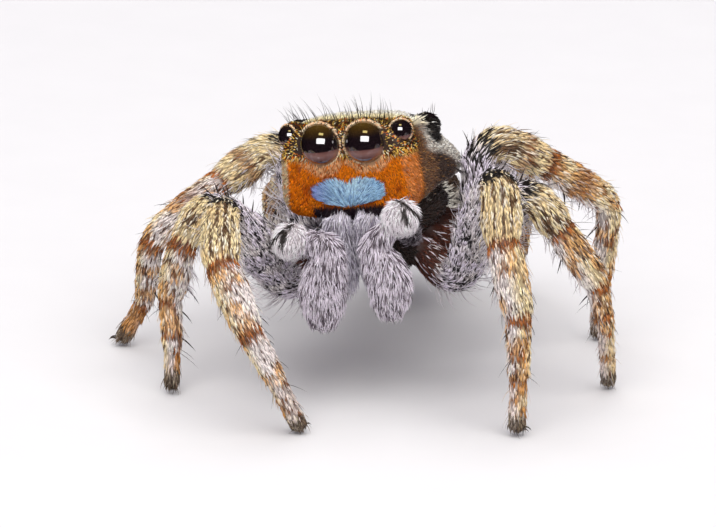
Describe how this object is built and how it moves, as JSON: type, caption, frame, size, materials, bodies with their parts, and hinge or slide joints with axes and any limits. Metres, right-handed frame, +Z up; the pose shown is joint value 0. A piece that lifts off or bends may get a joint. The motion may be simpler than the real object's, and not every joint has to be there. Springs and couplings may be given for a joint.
{
  "type": "jumping spider",
  "caption": "Life-size still model of a male jumping spider standing on eight hairy legs, with an orange face, a blue patch under two large front eyes and white palps.",
  "frame": {"origin": "middle of the spider's footprint, on the floor", "axes": "+Z up; the spider faces -Y; its own left side is +X"},
  "size_m": [0.0072, 0.008, 0.0037],
  "materials": {
    "head_coat": "short velvet of hair scales, orange on the face, brown on the sides",
    "eye_lens": "polished glossy black",
    "jaw_coat": "soft pale lilac hair",
    "palp_coat": "long white and grey hair",
    "abdomen_coat": "short brown hair with a pale band",
    "femur_coat": "lilac grey hair with dark specks",
    "leg_coat": "cream and gold scales with dark stripes and rings",
    "foot_coat": "cream hair with brown bands, darker at the tip",
    "dark_body": "dark brown, satin"
  },
  "bodies": {
    "root": {"abdomen": "abdomen_coat", "breastplate": "dark_body", "eye_front_left": "eye_lens", "eye_front_right": "eye_lens", "eye_rear_left": "eye_lens", "eye_rear_right": "eye_lens", "eye_side_left": "eye_lens", "eye_side_right": "eye_lens", "eye_small_left": "eye_lens", "eye_small_right": "eye_lens", "head_shell": "head_coat", "jaw_left": "jaw_coat", "jaw_right": "jaw_coat", "leg1_left_femur": "femur_coat", "leg1_left_foot": "foot_coat", "leg1_left_patella": "leg_coat", "leg1_left_tibia": "leg_coat", "leg1_right_femur": "femur_coat", "leg1_right_foot": "foot_coat", "leg1_right_patella": "leg_coat", "leg1_right_tibia": "leg_coat", "leg2_left_femur": "femur_coat", "leg2_left_foot": "foot_coat", "leg2_left_patella": "leg_coat", "leg2_left_tibia": "leg_coat", "leg2_right_femur": "femur_coat", "leg2_right_foot": "foot_coat", "leg2_right_patella": "leg_coat", "leg2_right_tibia": "leg_coat", "leg3_left_femur": "femur_coat", "leg3_left_foot": "foot_coat", "leg3_left_patella": "leg_coat", "leg3_left_tibia": "leg_coat", "leg3_right_femur": "femur_coat", "leg3_right_foot": "foot_coat", "leg3_right_patella": "leg_coat", "leg3_right_tibia": "leg_coat", "leg4_left_femur": "femur_coat", "leg4_left_foot": "foot_coat", "leg4_left_patella": "leg_coat", "leg4_left_tibia": "leg_coat", "leg4_right_femur": "femur_coat", "leg4_right_foot": "foot_coat", "leg4_right_patella": "leg_coat", "leg4_right_tibia": "leg_coat", "palp_left_bulb": "palp_coat", "palp_left_femur": "palp_coat", "palp_left_knee": "palp_coat", "palp_right_bulb": "palp_coat", "palp_right_femur": "palp_coat", "palp_right_knee": "palp_coat", "spinnerets": "dark_body", "waist": "dark_body"}
  },
  "joints": []
}
